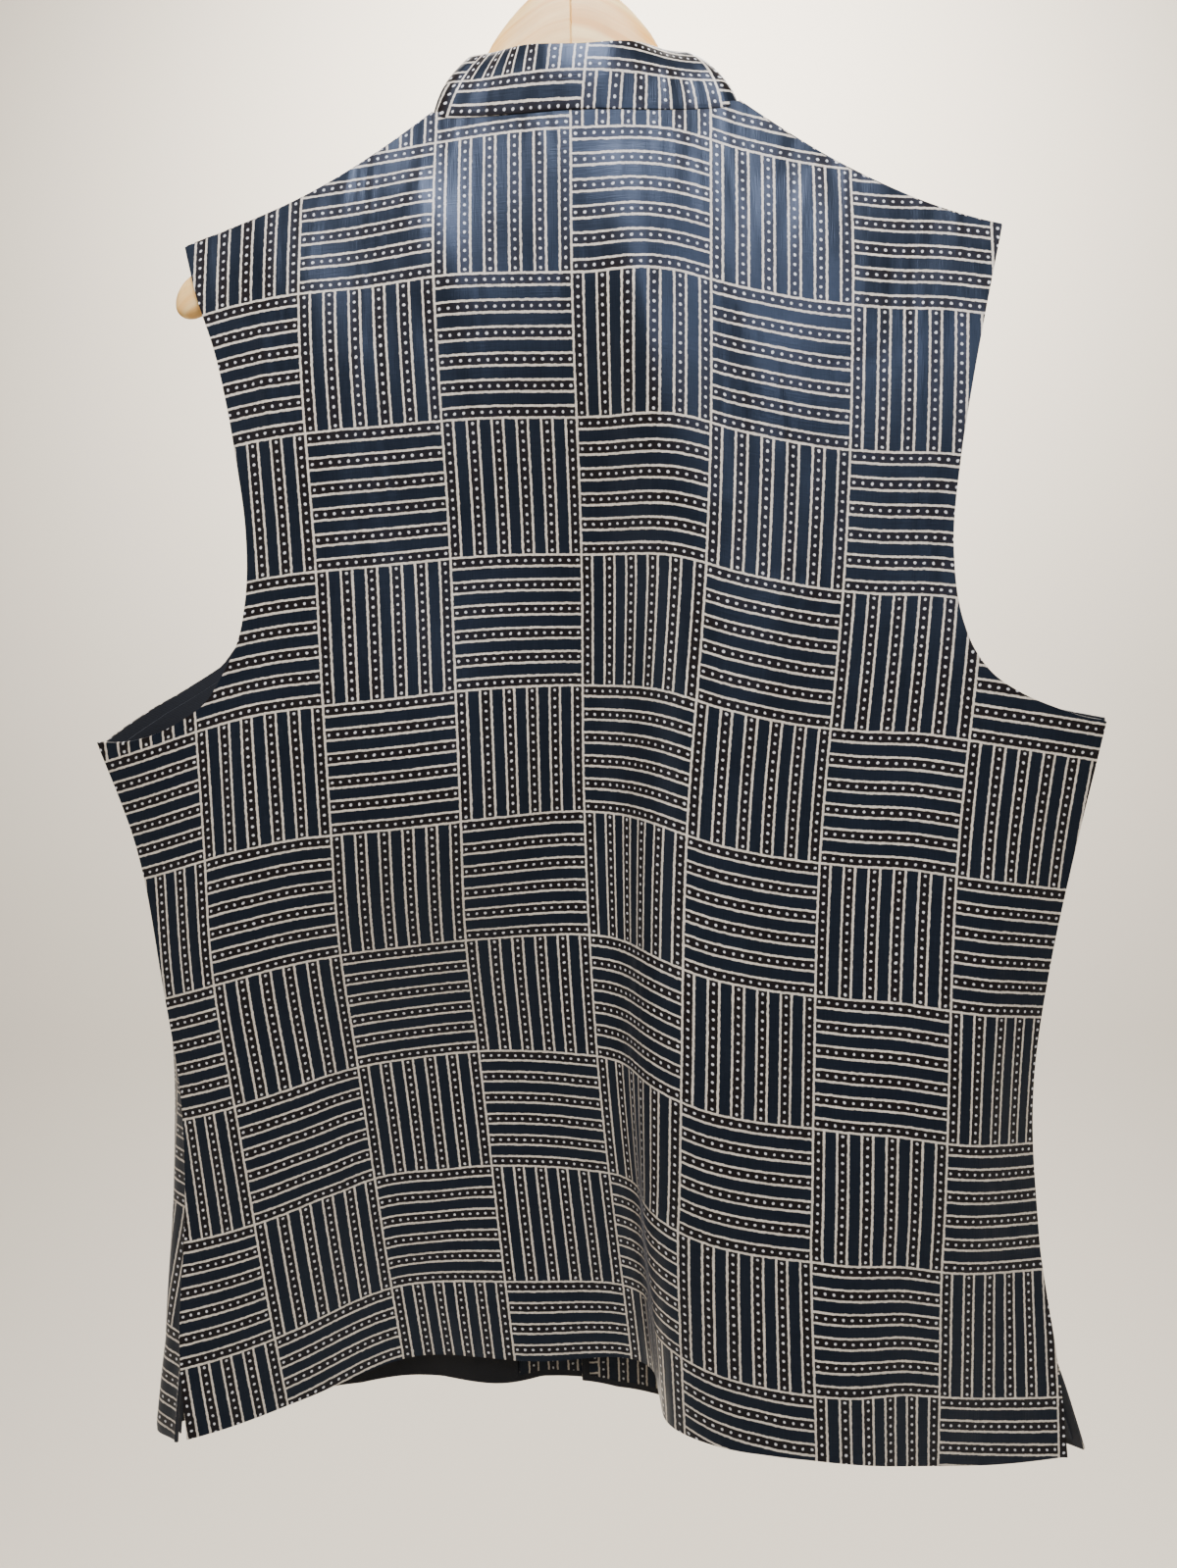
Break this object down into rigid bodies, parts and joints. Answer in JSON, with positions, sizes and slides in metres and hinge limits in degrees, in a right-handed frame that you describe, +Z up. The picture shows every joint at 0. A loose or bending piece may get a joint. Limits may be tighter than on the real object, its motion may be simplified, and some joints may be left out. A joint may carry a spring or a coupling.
{
  "type": "sleeveless nehru jacket on a wooden hanger",
  "caption": "Sleeveless band-collar jacket in a block-print cloth, buttoned, hanging on a contoured wooden hanger with a wire hook.",
  "frame": {"origin": "inner top of the hook's loop, where a rail or peg holds it", "axes": "+Z up, -Y out of the jacket's back, which the picture shows, +X towards the wearer's right"},
  "size_m": [0.5768, 0.131, 0.9428],
  "materials": {
    "cloth": "printed silk blend, satin",
    "facing": "printed silk blend, inner face",
    "lining": "dark lining",
    "button": "moulded, gloss",
    "wood": "pale, lacquered",
    "wire": "plated wire"
  },
  "bodies": {
    "root": {"back": "cloth", "front_left": "cloth", "front_right": "cloth", "collar": "cloth", "facing_left": "facing", "facing_right": "facing", "lining_left": "lining", "lining_right": "lining", "hanger_left": "wood", "hanger_right": "wood", "hanger_hook": "wire", "button_1": "button", "button_2": "button", "button_3": "button", "button_4": "button", "button_5": "button"}
  },
  "joints": []
}
